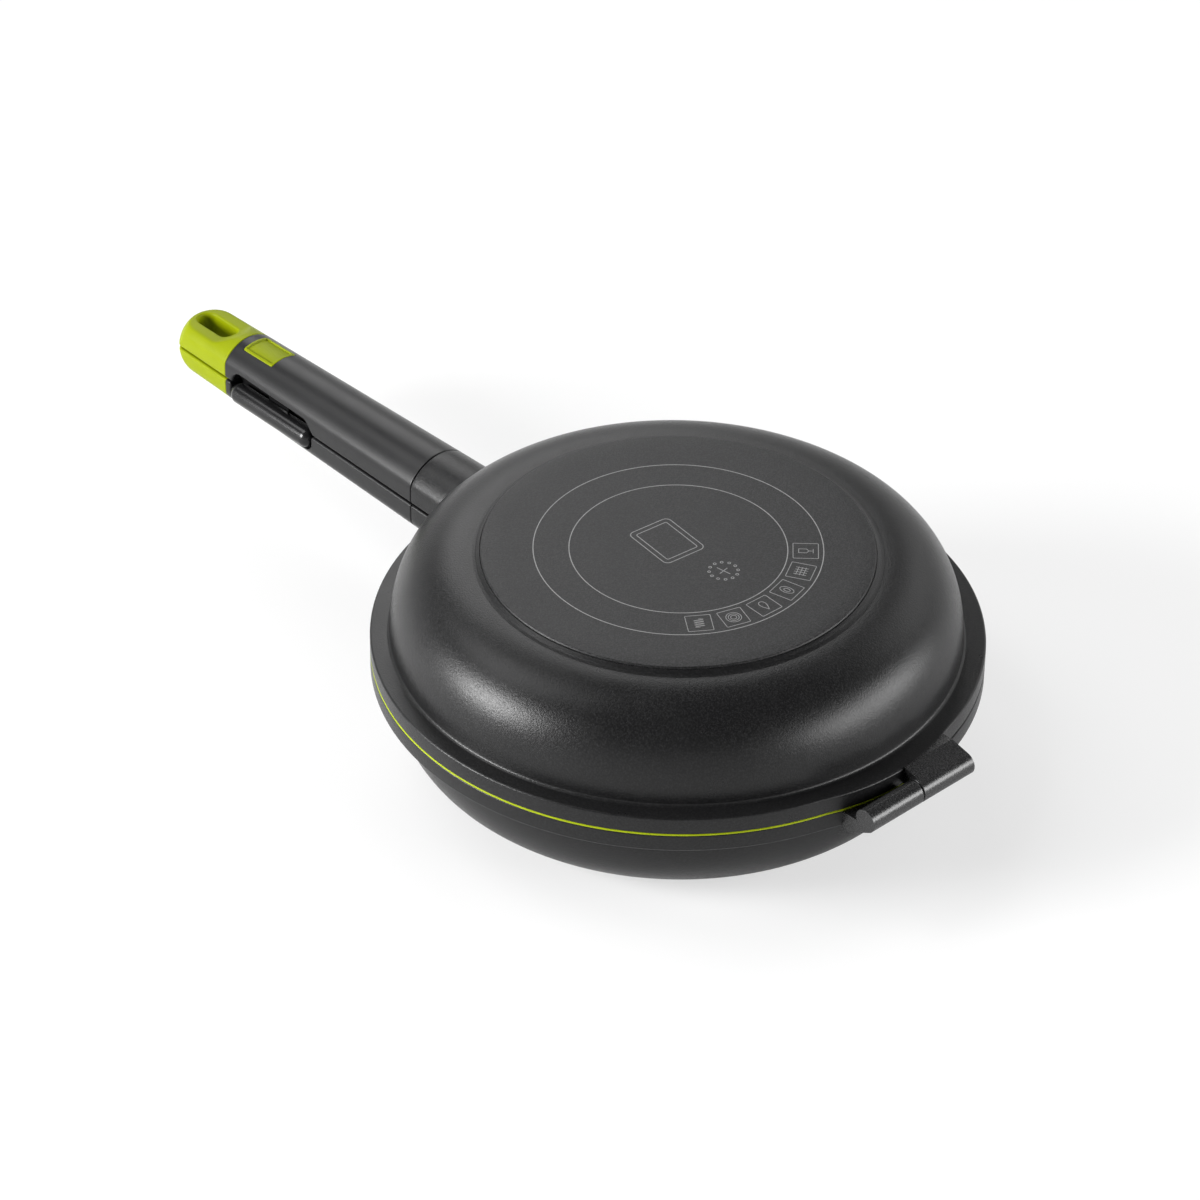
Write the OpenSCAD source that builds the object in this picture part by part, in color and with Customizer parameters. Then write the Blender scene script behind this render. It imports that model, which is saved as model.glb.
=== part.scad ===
// Double sided flip pan: two shallow cast pans, hinged rim to rim, each with half
// of a round handle. The parting plane between the halves is horizontal when the
// pan is closed. The handle points to -X and the hinge is at +X.
// Millimetres. The origin is on the floor, under the middle of the lower base.

/* [Pans] */
// Inner diameter of each pan at its rim, the size the pan is sold by
inner_d = 240; // [200:1:300]
// Thickness of the cast side wall
wall_t = 3.4; // [2.5:0.1:5]
// How far the rim flange stands out past the wall
flange_w = 8.6; // [7:0.1:12]
// Height of one rim flange
flange_h = 7.9; // [6:0.1:10]
// Height of one pan, from the parting plane to the face of its base
half_h = 50.7; // [42:0.1:60]
// How far the edge of the base lies inside the inner rim
base_inset = 36; // [28:0.5:45]
// Thickness of the cast floor
floor_t = 5.4; // [4:0.1:6]
// Thickness of the steel disc on the base
disc_t = 1.7; // [1:0.1:2]
// Height of the cast foot under the disc
foot_h = 1; // [0.5:0.1:2]

/* [Seal] */
// Gap between the two rims that the seal ring fills
seal_t = 1; // [0.8:0.1:1.6]
// Width of the bead under the seal ring
bead_w = 2.4; // [1.6:0.1:3]
// Depth of the groove that holds the bead
groove_depth = 2; // [1.2:0.1:3]

/* [Hinge] */
// Radius of the hinge barrel
barrel_r = 5.3; // [4.9:0.1:5.6]
// Distance from the round rim flange to the middle of the barrel
barrel_out = 10.9; // [10:0.1:12]
// How far the barrel's axis lies above the parting plane
axis_rise = 1.8; // [0:0.1:2.5]
// Radius of the hinge pin
pin_r = 2.5; // [2:0.1:3]
// Width of each of the two knuckles
knuckle_w = 29.5; // [20:0.5:36]
// Gap between the two knuckles
slit = 0.5; // [0.3:0.1:1]
// How far the slit lies beside the handle's middle line
slit_y = 1.7; // [0:0.1:3]
// Width of the step that keeps the root of each lug clear of the other knuckle
lug_step = 1; // [0.5:0.1:3]
// How far the flange swells out towards the hinge
flare = 2.4; // [1:0.1:2.6]

/* [Handle] */
// Radius of the round handle where it meets the cast neck
handle_r = 19.6; // [17:0.1:22]
// Radius of the handle at the end cap
handle_end_r = 16.7; // [15:0.1:19]
// Half width between the side flats, as a share of the radius
flat_share = 0.87; // [0.8:0.01:0.94]
// Gap between the two half handles
handle_gap = 1.4; // [1:0.1:2]
// Length of the cast neck, from the flange to the grip
neck_l = 22.6; // [18:0.1:32]
// Length of the grip, from the neck to the end cap
grip_l = 133.4; // [124:0.1:150]
// Length of the end cap
cap_l = 40.5; // [38:0.5:46]
// Thickness of the end cap's skin
cap_t = 2.5; // [2:0.1:3]
// How far the thumb flat on the end cap lies from the parting plane
thumb_d = 12.1; // [11:0.1:14]
// Length of the hanging slot
slot_l = 23.8; // [16:0.1:25]
// Width of the hanging slot
slot_w = 9.5; // [7:0.1:11]

/* [Tang] */
// Length of the cast tang inside each grip
tang_l = 62; // [50:1:70]
// Width of the tang
tang_w = 15; // [12:0.5:18]
// Thickness of the tang
tang_t = 6; // [5:0.1:7]
// Diameter of the tang screws
screw_d = 4; // [3:0.5:5]
// Distance between the two tang screws
screw_pitch = 34; // [26:1:40]

/* [Latch] */
// Length of the round bar of the latch lever
bar_l = 56.5; // [44:0.5:58]
// Radius of the bar
bar_r = 4.9; // [4.5:0.1:5]
// Radius of the pin through the bar, which the lever turns on
latch_pin_r = 1; // [0.8:0.05:1.1]
// Length of the side pocket
pocket_l = 61.4; // [59:0.1:66]
// How far the pocket reaches above the parting plane
pocket_h = 6.6; // [6.2:0.1:8]

/* [Badge] */
// Length of the square inlay along the handle
badge_l = 20.4; // [14:0.1:22]
// Width of the inlay across the handle
badge_w = 14.6; // [10:0.1:17]

/* [Clearances] */
// Running clearance of a pin in its bore, on the radius
run_fit = 0.05; // [0.02:0.01:0.1]
// Clearance between parts that are assembled once
seat_fit = 0.1; // [0.05:0.01:0.2]

/* [Hidden] */
$fn = 96;

// colours
anthracite = [0.23, 0.23, 0.24];
black = [0.12, 0.12, 0.13];
gloss_black = [0.08, 0.08, 0.09];
lime = [0.70, 0.78, 0.12];
steel = [0.72, 0.73, 0.75];
brass = [0.78, 0.65, 0.35];

// pans: r is the distance from the middle, d the distance from the parting plane
face_d = seal_t / 2;
rim_r = inner_d / 2;
wall_r = rim_r + wall_t;
flange_r = wall_r + flange_w;
flange_top = face_d + flange_h;
disc_chamfer = 0.8;
base_r = rim_r - base_inset;
foot_r = base_r + disc_chamfer + 1.2;
shoulder_r = foot_r + 2;
floor_r = shoulder_r - 4;
foot_d = half_h - disc_t;
body_d = foot_d - foot_h;
floor_d = foot_d - floor_t;
edge_round = 0.6;
root_round = 1.8;

// a quarter of a slightly squared ellipse, from the wall (0) to the base (1)
curve_steps = 22;
curve_flat = 0.94;
curve_full = 0.81;
function quarter(r0, d0, a, b) = [
    for (i = [1 : curve_steps])
        let (t = 90 * i / curve_steps)
        [r0 + a * pow(cos(t), curve_flat), d0 + b * pow(sin(t), curve_full)]
];
function arc(x, y, r, from, to, steps) = [
    for (i = [0 : steps])
        let (t = from + (to - from) * i / steps)
        [x + r * cos(t), y + r * sin(t)]
];
outer_curve = quarter(shoulder_r, flange_top, wall_r - shoulder_r, body_d - flange_top);
inner_curve = quarter(floor_r, flange_top, rim_r - floor_r, floor_d - flange_top);

// seal
groove_r = (wall_r + flange_r) / 2;
seal_play = 0.1;

// hinge
axis_x = flange_r + barrel_out;
lug_root_x = wall_r + 4;
lug_edge_x = flange_r + flare + 0.2;
lug_top = flange_top + 0.5;
flare_r = 0.75 * rim_r;
flare_x = flange_r + flare - flare_r;
knuckle_end = slit / 2 + knuckle_w;
pin_tip = knuckle_end - 4;
pin_head_r = pin_r + 1.2;
pin_head_t = 1.2;

// handle: x falls from the neck to the end cap
pad_gap = 0.1;
seam_x = -flange_r - neck_l;
cap_x = seam_x - grip_l;
end_x = cap_x - cap_l;
slot_end_x = -flange_r - 10;
taper = (handle_r - handle_end_r) / grip_l;
function handle_radius(x) = handle_r + taper * (x - seam_x);
half_gap = handle_gap / 2;
seam_gap = 0.3;

// tang and its screws
tang_d = half_gap + 1.6;
tang_end_x = seam_x - tang_l;
screw_x = [seam_x - (tang_l - screw_pitch) / 2, seam_x - (tang_l + screw_pitch) / 2];
insert_r = screw_d / 2 + 1.2;
insert_l = 6;
head_r = screw_d * 0.9;
head_t = screw_d * 0.55;
screw_l = tang_t + insert_l - 1;

// end cap
dome_l = 14.5;
dome_x = end_x + dome_l;
dome_power = 2 / 2.3;
spigot_x = dome_x - 4.5;
slot_x = end_x + 6.2 + slot_l / 2;
collar_t = 1.8;
ramp_x1 = cap_x - 3;
ramp_x2 = cap_x - 12;

// badge
badge_x = cap_x + 15.2;
badge_depth = 1.2;
badge_proud = 0.3;
badge_border = 1.3;

// side pocket and latch, on the -Y side
pocket_x1 = cap_x + 3.7;
pocket_x2 = pocket_x1 + pocket_l;
pocket_in = 6.5;
scoop_end = 6;
run_out = 8.4;
bar_play = 1.1;
bar_gap = 0.4;
seat_end_r = bar_r + 0.7;
bar_x1 = pocket_x1 + bar_play;
bar_x2 = bar_x1 + bar_l;
bar_mid_x = (bar_x1 + bar_x2) / 2;
bar_y = -12.9;
bar_d = -4.5;
ear_l = 4;
hook_l = 14;
hook_t = 2;
hook_y = bar_y + bar_r;
hook_top = 4.7;
hook_play = 0.4;
catch_r = 1.2;
catch_y = hook_y + 0.3 + catch_r;
catch_d = 3;
catch_l = 22;
leaf_t = 0.6;
leaf_w = 8;
leaf_l = 15;
leaf_y = bar_y - 0.1;
leaf_d = bar_d - bar_r - 0.15 - leaf_t;
leaf_screw_y = -1.5;
leaf_screw_r = 1.4;
leaf_head_r = 2.6;
leaf_head_t = 1.4;
leaf_screw_l = 6;

// ---- forms that both halves share: the parting plane is z = 0, the form lies above it

module lift() {
    translate([0, 0, half_h]) children();
}

module turn_over() {
    rotate([180, 0, 0]) children();
}

// a cone or rod along X, from x1 down to x2
module cone_x(x1, x2, r1, r2) {
    translate([x1, 0, 0])
        rotate([0, -90, 0])
            cylinder(h = x1 - x2, r1 = r1, r2 = r2);
}

module rod_x(x1, x2, y, d, r) {
    translate([x1, y, d])
        rotate([0, -90, 0])
            cylinder(h = x1 - x2, r = r);
}

// a rod along X with round ends
module capsule_x(x1, x2, y, d, r) {
    rod_x(x1 - r, x2 + r, y, d, r);
    for (x = [x1 - r, x2 + r])
        translate([x, y, d]) sphere(r = r);
}

// the round handle with its two side flats, from x1 down to x2; grow moves its skin out
module handle_form(x1, x2, grow = 0) {
    r1 = handle_radius(x1) + grow;
    r2 = handle_radius(x2) + grow;
    w1 = flat_share * handle_radius(x1) + grow;
    w2 = flat_share * handle_radius(x2) + grow;
    intersection() {
        cone_x(x1, x2, r1, r2);
        translate([0, 0, -2 * handle_r])
            linear_extrude(4 * handle_r)
                polygon([[x1, -w1], [x1, w1], [x2, w2], [x2, -w2]]);
    }
}

// everything above height d
module above(d) {
    translate([end_x - 10, -flange_r, d])
        cube([2 * flange_r - end_x, 2 * flange_r, 2 * half_h]);
}

module shell_section() {
    difference() {
        polygon(concat(
            [
                [0, face_d], [flange_r, face_d],
                [flange_r, flange_top - edge_round], [flange_r - edge_round, flange_top]
            ],
            arc(wall_r + root_round, flange_top + root_round, root_round, 270, 180, 5),
            [for (p = outer_curve) if (p[1] > flange_top + root_round) p],
            [[foot_r, foot_d - foot_h / 3], [foot_r - foot_h / 3, foot_d], [0, foot_d]]
        ));
        polygon(concat(
            [[0, face_d - 1], [rim_r, face_d - 1], [rim_r, flange_top]],
            inner_curve,
            [[0, floor_d]]
        ));
    }
}

// the part of the flange that swells out towards the hinge
module flare_form(d1, d2, inset = 0) {
    intersection() {
        translate([flare_x, 0, d1]) cylinder(h = d2 - d1, r = flare_r - inset, $fn = 240);
        translate([wall_r, -rim_r, d1]) cube([rim_r, 2 * rim_r, d2 - d1]);
    }
}

// outline of a lug, seen along the hinge axis: a barrel and the root that carries it
module lug_outline(rise) {
    a = axis_x - lug_edge_x;
    b = lug_top - rise;
    lean = acos(barrel_r / norm([a, b])) - atan2(a, b);
    translate([axis_x, rise]) circle(r = barrel_r);
    polygon([
        [lug_root_x, face_d], [lug_root_x, flange_top], [lug_edge_x, lug_top],
        [axis_x + barrel_r * sin(lean), rise + barrel_r * cos(lean)], [axis_x, face_d]
    ]);
}

// one hinge lug, on the +Y side of its half; side is 1 for the upper pan, -1 for the lower
module lug(side) {
    rise = side * axis_rise;
    translate([0, side * slit_y + knuckle_end, 0])
        rotate([90, 0, 0]) {
            translate([axis_x, rise]) cylinder(h = knuckle_w, r = barrel_r);
            linear_extrude(knuckle_w - lug_step) lug_outline(rise);
        }
}

module barrel_bore(side, depth) {
    translate([axis_x, side * slit_y - slit, side * axis_rise])
        rotate([-90, 0, 0])
            cylinder(h = depth + slit, r = pin_r + run_fit);
}

// cast neck: it closes on the other half near the rim and leaves the handle's slot beyond
module neck() {
    difference() {
        handle_form(-rim_r, seam_x);
        translate([seam_x - 1, -flange_r, -half_h])
            cube([slot_end_x - seam_x + 1, 2 * flange_r, half_h + half_gap]);
        translate([seam_x, -flange_r, -half_h])
            cube([-seam_x, 2 * flange_r, half_h + pad_gap]);
        translate([0, 0, -half_h])
            cylinder(h = half_h + face_d, r = flange_r + 0.2, $fn = 240);
        cylinder(h = half_h, r = rim_r + wall_t / 2, $fn = 240);
    }
}

module tang() {
    difference() {
        translate([tang_end_x, -tang_w / 2, tang_d])
            cube([seam_x - tang_end_x + 2, tang_w, tang_t]);
        for (x = screw_x)
            translate([x, 0, tang_d - 1]) {
                cylinder(h = tang_t + 2, r = screw_d / 2 + seat_fit);
                cylinder(h = head_t + 1, r = head_r + seat_fit);
            }
    }
}

// one casting: shell, hinge lug, neck and tang
module casting(side) {
    rotate_extrude($fn = 240) shell_section();
    flare_form(face_d, flange_top);
    lug(side);
    neck();
    tang();
}

module base_disc() {
    translate([0, 0, foot_d])
        rotate_extrude($fn = 240)
            polygon([
                [0, 0], [base_r + disc_chamfer, 0],
                [base_r + disc_chamfer, disc_t - disc_chamfer], [base_r, disc_t], [0, disc_t]
            ]);
}

module slot_form(grow, d1, d2) {
    w = slot_w / 2 + grow;
    l = slot_l / 2 - slot_w / 2;
    translate([slot_x, 0, d1]) {
        for (s = [-1, 1])
            translate([s * l, 0, 0]) cylinder(h = d2 - d1, r = w);
        translate([-l, -w, 0]) cube([2 * l, 2 * w, d2 - d1]);
    }
}

// the end of the grip inside the end cap; gap pulls its skin in
module spigot_form(gap) {
    difference() {
        handle_form(cap_x + 1, spigot_x - seat_fit + gap, -cap_t - gap);
        above(thumb_d - cap_t - gap);
        turn_over() above(thumb_d - cap_t - gap);
    }
}

// half grip: outer form, spigot for the end cap, seats for the tang and its inserts
module half_grip() {
    difference() {
        intersection() {
            union() {
                handle_form(seam_x - seam_gap, cap_x);
                spigot_form(seat_fit);
            }
            above(half_gap);
        }
        translate([tang_end_x - seat_fit, -tang_w / 2 - seat_fit, -1])
            cube([tang_l + 5, tang_w + 2 * seat_fit, tang_d + tang_t + 1]);
        for (x = screw_x)
            translate([x, 0, tang_d])
                cylinder(h = tang_t + insert_l + 0.5, r = insert_r);
        slot_form(collar_t + seat_fit, -1, half_h);
    }
}

module inserts() {
    for (x = screw_x)
        translate([x, 0, tang_d + tang_t])
            difference() {
                cylinder(h = insert_l, r = insert_r - 0.02);
                translate([0, 0, -1])
                    cylinder(h = insert_l + 2, r = screw_d / 2 + 0.02);
            }
}

module cross_screw(r, l, hr, ht) {
    difference() {
        union() {
            cylinder(h = ht, r = hr);
            cylinder(h = l, r = r);
        }
        for (a = [0, 90])
            rotate(a)
                translate([-hr * 0.6, -0.4, -1])
                    cube([hr * 1.2, 0.8, 1 + ht * 0.6]);
    }
}

module tang_screws() {
    for (x = screw_x)
        translate([x, 0, tang_d])
            cross_screw(screw_d / 2, screw_l, head_r, head_t);
}

// the end cap's outer form: the handle's taper, closed by a dome
module cap_form() {
    intersection() {
        handle_form(cap_x, end_x);
        union() {
            cone_x(cap_x, dome_x, handle_radius(cap_x), handle_radius(dome_x));
            translate([dome_x, 0, 0])
                rotate([0, -90, 0])
                    rotate_extrude() dome_section();
        }
    }
}

module dome_section() {
    r = handle_radius(dome_x);
    polygon(concat(
        [[0, 0], [r, 0]],
        [for (t = [7.5 : 7.5 : 82.5])
            [r * pow(cos(t), dome_power), dome_l * pow(sin(t), dome_power)]],
        [[0, dome_l]]
    ));
}

// what is taken off the crest for the thumb flat and its ramp
module thumb_cut() {
    top = handle_radius(cap_x);
    translate([0, handle_r, 0])
        rotate([90, 0, 0])
            linear_extrude(2 * handle_r)
                polygon([
                    [end_x - 1, thumb_d], [ramp_x2, thumb_d], [ramp_x1, top],
                    [ramp_x1, 2 * top], [end_x - 1, 2 * top]
                ]);
}

// half end cap: a skin over the grip's spigot, with the lining of the hanging slot
module half_cap() {
    difference() {
        intersection() {
            cap_form();
            above(half_gap);
        }
        thumb_cut();
        difference() {
            spigot_form(0);
            slot_form(collar_t, -1, half_h);
        }
        slot_form(0, -1, half_h);
    }
}

// ---- the side pocket and what it holds, in place under the parting plane

// side view of the scoop in the upper grip: round at the cap, easing out at the neck side
module scoop_outline() {
    polygon(concat(
        [[pocket_x2, -1], [bar_x1, -1]],
        [for (t = [0 : 10 : 90])
            [bar_x1 + scoop_end * (1 - cos(t)), pocket_h * sin(t)]],
        [for (t = [0 : 0.0625 : 1])
            [pocket_x2 - run_out * (1 - t), pocket_h * (0.5 + 0.5 * cos(180 * t))]]
    ));
}

module scoop() {
    wall_y = flat_share * handle_radius(bar_mid_x) - pocket_in;
    translate([0, -wall_y, 0])
        rotate([90, 0, 0])
            linear_extrude(handle_r) scoop_outline();
}

// the seat of the bar, open towards the upper half, and the room for the hook
module lever_room() {
    r = bar_r + bar_gap;
    x1 = bar_x2 + bar_play;
    x2 = bar_x1 - bar_play;
    intersection() {
        union() {
            rod_x(x1, x2, bar_y, bar_d, r);
            translate([x2, bar_y - r, bar_d]) cube([x1 - x2, 2 * r, -bar_d]);
        }
        rotate([90, 0, 0])
            linear_extrude(2 * handle_r) {
                for (x = [x2 + seat_end_r, x1 - seat_end_r])
                    translate([x, bar_d]) circle(r = seat_end_r);
                translate([x2 + seat_end_r, bar_d - 2 * r])
                    square([x1 - x2 - 2 * seat_end_r, 2 * r]);
                translate([x2, bar_d]) square([x1 - x2, 1 - bar_d]);
            }
    }
    hook_room();
}

module hook_room() {
    translate([bar_mid_x - hook_l / 2 - hook_play, -handle_r, bar_d - hook_play])
        cube([hook_l + 2 * hook_play, handle_r + hook_y + hook_play,
            hook_top + 1.3 - bar_d + hook_play]);
}

// ---- nodes

module lower_pan() {
    color(anthracite)
        lift() turn_over()
            difference() {
                casting(-1);
                barrel_bore(-1, pin_tip + 0.5);
                rotate_extrude($fn = 240)
                    translate([groove_r - bead_w / 2 - seat_fit, face_d - 1])
                        square([bead_w + 2 * seat_fit, groove_depth + 1]);
            }
}

module lower_base_disc() {
    color(anthracite) lift() turn_over() base_disc();
}

// flat ring between the rims, with a bead that sits in the lower pan's groove
module seal_ring() {
    color(lime)
        lift() turn_over() {
            rotate_extrude($fn = 240) {
                translate([rim_r + 1, -face_d + seal_play])
                    square([flange_r - rim_r - 1.1, seal_t - seal_play]);
                translate([groove_r - bead_w / 2, 0])
                    square([bead_w, face_d + groove_depth - 0.2]);
            }
            flare_form(-face_d + seal_play, face_d, 0.1);
        }
}

module hinge_pin() {
    color(steel)
        lift()
            translate([axis_x, slit_y, axis_rise])
                rotate([-90, 0, 0]) {
                    translate([0, 0, -pin_tip])
                        cylinder(h = pin_tip + knuckle_end, r = pin_r);
                    translate([0, 0, knuckle_end - pin_head_t])
                        cylinder(h = pin_head_t, r = pin_head_r);
                }
}

module lower_grip() {
    color(black)
        lift()
            difference() {
                turn_over() half_grip();
                lever_room();
                // channel the latch pin is pushed in through, from under the end cap
                rod_x(bar_x2 + ear_l, cap_x - 1, bar_y, bar_d, latch_pin_r + 0.03);
                // seat of the leaf and its screw
                translate([bar_mid_x - leaf_w / 2 - 0.2, leaf_y - 0.1, leaf_d])
                    cube([leaf_w + 0.4, leaf_l + 0.3, half_h]);
                translate([bar_mid_x, leaf_screw_y, leaf_d - leaf_screw_l])
                    cylinder(h = leaf_screw_l + 1, r = leaf_screw_r + 0.02);
            }
}

module lower_grip_inserts() {
    color(brass) lift() turn_over() inserts();
}

module lower_tang_screws() {
    color(steel) lift() turn_over() tang_screws();
}

module lower_end_cap() {
    color(lime) lift() turn_over() half_cap();
}

module upper_pan() {
    color(anthracite)
        lift()
            difference() {
                casting(1);
                barrel_bore(1, knuckle_end + 1);
                // seat of the pin's head
                translate([axis_x, slit_y + knuckle_end - pin_head_t - seat_fit, axis_rise])
                    rotate([-90, 0, 0])
                        cylinder(h = pin_head_t + 1, r = pin_head_r + seat_fit);
            }
}

module upper_base_disc() {
    color(anthracite) lift() base_disc();
}

module upper_grip() {
    color(black)
        lift()
            difference() {
                half_grip();
                scoop();
                hook_room();
                // slot in front of the catch, and the channel it is pushed in through
                translate([bar_mid_x - hook_l / 2 - hook_play, hook_y - 1, 0])
                    cube([hook_l + 2 * hook_play, catch_r * 2 + 1.7, hook_top + 1.3]);
                rod_x(bar_mid_x + catch_l / 2, slot_x + slot_l / 2, catch_y, catch_d,
                    catch_r + 0.03);
                difference() {
                    badge_block(0);
                    handle_form(seam_x, cap_x, -badge_depth);
                }
            }
}

module upper_grip_inserts() {
    color(brass) lift() inserts();
}

module upper_tang_screws() {
    color(steel) lift() tang_screws();
}

module upper_end_cap() {
    color(lime) lift() half_cap();
}

module badge_block(inset) {
    translate([badge_x - badge_l / 2 + inset, -badge_w / 2 + inset, 0])
        cube([badge_l - 2 * inset, badge_w - 2 * inset, 2 * handle_r]);
}

// square inlay on the crest of the upper grip: a plain field with a raised border
module badge() {
    color(lime)
        lift()
            difference() {
                intersection() {
                    badge_block(0.05);
                    handle_form(seam_x, cap_x, badge_proud);
                }
                handle_form(seam_x, cap_x, -badge_depth + 0.05);
                difference() {
                    badge_block(badge_border);
                    handle_form(seam_x, cap_x, -badge_proud);
                }
            }
}

// round bar that turns on the pin through it, with a hook up to the catch
module latch_lever() {
    color(gloss_black)
        lift()
            difference() {
                union() {
                    capsule_x(bar_x2, bar_x1, bar_y, bar_d, bar_r);
                    translate([bar_mid_x - hook_l / 2, hook_y - hook_t, bar_d])
                        cube([hook_l, hook_t, hook_top - bar_d]);
                }
                rod_x(bar_x2 + 1, bar_x1 - 1, bar_y, bar_d, latch_pin_r + run_fit);
            }
}

module latch_pin() {
    color(steel)
        lift() rod_x(bar_x2 + ear_l, cap_x + seam_gap, bar_y, bar_d, latch_pin_r);
}

module latch_leaf() {
    color(steel)
        lift()
            difference() {
                translate([bar_mid_x - leaf_w / 2, leaf_y, leaf_d])
                    cube([leaf_w, leaf_l, leaf_t]);
                translate([bar_mid_x, leaf_screw_y, leaf_d - 1])
                    cylinder(h = leaf_t + 2, r = leaf_screw_r + seat_fit);
            }
}

module latch_leaf_screw() {
    color(steel)
        lift()
            translate([bar_mid_x, leaf_screw_y, leaf_d + leaf_t])
                turn_over()
                    translate([0, 0, -leaf_head_t])
                        cross_screw(leaf_screw_r, leaf_head_t + leaf_screw_l,
                            leaf_head_r, leaf_head_t);
}

module latch_catch() {
    color(steel)
        lift()
            rod_x(bar_mid_x + catch_l / 2, cap_x, catch_y, catch_d, catch_r);
}

lower_pan();
lower_base_disc();
seal_ring();
hinge_pin();
lower_grip();
lower_grip_inserts();
lower_tang_screws();
lower_end_cap();
upper_pan();
upper_base_disc();
upper_grip();
upper_grip_inserts();
upper_tang_screws();
upper_end_cap();
badge();
latch_lever();
latch_pin();
latch_leaf();
latch_leaf_screw();
latch_catch();
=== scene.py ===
# Double sided flip pan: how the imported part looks.
# Shapes are worked out in millimetres in the half frame: the parting plane is z = 0 and one
# half of the pan lies above it. place() puts a shape on the upper or on the lower half.
import bmesh
import bpy
import numpy as np
from mathutils import Matrix, Vector


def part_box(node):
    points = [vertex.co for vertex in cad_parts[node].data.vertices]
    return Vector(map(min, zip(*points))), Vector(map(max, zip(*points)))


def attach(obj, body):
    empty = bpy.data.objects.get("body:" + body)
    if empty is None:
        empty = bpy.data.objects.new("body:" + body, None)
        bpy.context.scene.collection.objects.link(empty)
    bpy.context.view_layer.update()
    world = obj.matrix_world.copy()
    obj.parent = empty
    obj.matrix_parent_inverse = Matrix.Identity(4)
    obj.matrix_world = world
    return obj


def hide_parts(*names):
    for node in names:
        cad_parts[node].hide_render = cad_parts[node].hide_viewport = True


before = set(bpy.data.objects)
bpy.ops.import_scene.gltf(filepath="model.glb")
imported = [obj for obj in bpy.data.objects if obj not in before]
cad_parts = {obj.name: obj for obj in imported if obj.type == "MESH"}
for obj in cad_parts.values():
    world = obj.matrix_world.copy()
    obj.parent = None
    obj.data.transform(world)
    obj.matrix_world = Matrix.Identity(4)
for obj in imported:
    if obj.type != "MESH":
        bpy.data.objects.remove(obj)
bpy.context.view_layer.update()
scene = bpy.context.scene
halfHeight = (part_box("upper_base_disc")[1].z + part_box("lower_base_disc")[0].z) / 2 * 1000
print("frame loaded")


def arc(x, y, radius, start, end, steps):         # points on a circle, angles in degrees
    t = np.radians(np.linspace(start, end, steps + 1))
    return np.stack([x + radius * np.cos(t), y + radius * np.sin(t)], -1)


# An open line whose corners are replaced by arcs that touch both of their sides.
def rounded(points, radii, steps=6):
    points = np.asarray(points, float)
    out = [points[:1]]
    for i in range(1, len(points) - 1):
        before, corner, after = points[i - 1], points[i], points[i + 1]
        radius = radii.get(i, 0)
        if radius == 0:
            out.append(corner[None])
            continue
        u = (before - corner) / np.linalg.norm(before - corner)
        v = (after - corner) / np.linalg.norm(after - corner)
        half = np.arccos(np.clip(u @ v, -1, 1)) / 2
        reach = radius / np.tan(half)
        middle = corner + (u + v) / np.linalg.norm(u + v) * radius / np.sin(half)
        a, b = corner + u * reach - middle, corner + v * reach - middle
        spread = np.arccos(np.clip(a @ b / radius ** 2, -1, 1))
        t = np.linspace(0, 1, steps + 1)[:, None]
        out.append(middle + (np.sin((1 - t) * spread) * a + np.sin(t * spread) * b)
                   / np.sin(spread))
    out.append(points[-1:])
    return np.concatenate(out)


def gridFaces(rows, cols, closeRows=False, closeCols=False):
    a, b = np.meshgrid(np.arange(rows if closeRows else rows - 1),
                       np.arange(cols if closeCols else cols - 1), indexing="ij")
    c, d = (a + 1) % rows, (b + 1) % cols
    return np.stack([a * cols + b, c * cols + b, c * cols + d, a * cols + d],
                    -1).reshape(-1, 4)


def closedTube(grid):                             # rows of closed outlines, with both ends shut
    rows, cols = grid.shape[:2]
    faces = gridFaces(rows, cols, False, True).tolist()
    faces += [list(range(cols)), list(range((rows - 1) * cols, rows * cols))]
    return grid.reshape(-1, 3), faces


def turned(profile, segments):                    # (r, z) line turned about the Z axis
    t = np.linspace(0, 2 * np.pi, segments, endpoint=False)[:, None]
    r, z = profile[:, 0][None], profile[:, 1][None]
    points = np.stack([r * np.cos(t), r * np.sin(t), z + 0 * t], -1)
    return points.reshape(-1, 3), gridFaces(segments, len(profile), True).tolist()


def prism(outline, low, high, axis="Y"):          # flat outline pushed along one axis
    a, b = outline[:, 0], outline[:, 1]
    order = {"X": lambda e: (e, a, b), "Y": lambda e: (a, e, b), "Z": lambda e: (a, b, e)}
    return closedTube(np.stack([np.stack(order[axis](np.full(len(outline), float(e))), -1)
                                for e in (low, high)]))


def block(low, high):                             # a box given by two corners
    (x1, y1, z1), (x2, y2, z2) = low, high
    return prism(np.array([[x1, y1], [x2, y1], [x2, y2], [x1, y2]], float), z1, z2, "Z")


def rod(middle, radius, low, high, axis="Z", steps=64):
    return prism(arc(*middle, radius, 0, 360, steps)[:-1], low, high, axis)


def outwards(outline):                            # unit normals of a closed flat outline
    run = np.roll(outline, -1, 0) - np.roll(outline, 1, 0)
    normal = np.stack([run[:, 1], -run[:, 0]], -1)
    x, y = outline[:, 0], outline[:, 1]
    area = np.sum(x * np.roll(y, -1) - np.roll(x, -1) * y)
    return normal * np.sign(area) / np.linalg.norm(normal, axis=1)[:, None]


def place(points, half):                          # half frame to the pan's own frame, in mm
    if half == "lower":
        points = points * np.array([1, -1, -1])
    return points + np.array([0, 0, halfHeight])


def tidyMesh(mesh, merge=2e-6):
    work = bmesh.new()
    work.from_mesh(mesh)
    bmesh.ops.remove_doubles(work, verts=work.verts, dist=merge)
    bmesh.ops.dissolve_degenerate(work, edges=work.edges, dist=merge)
    bmesh.ops.recalc_face_normals(work, faces=work.faces)
    work.to_mesh(mesh)
    work.free()


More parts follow.
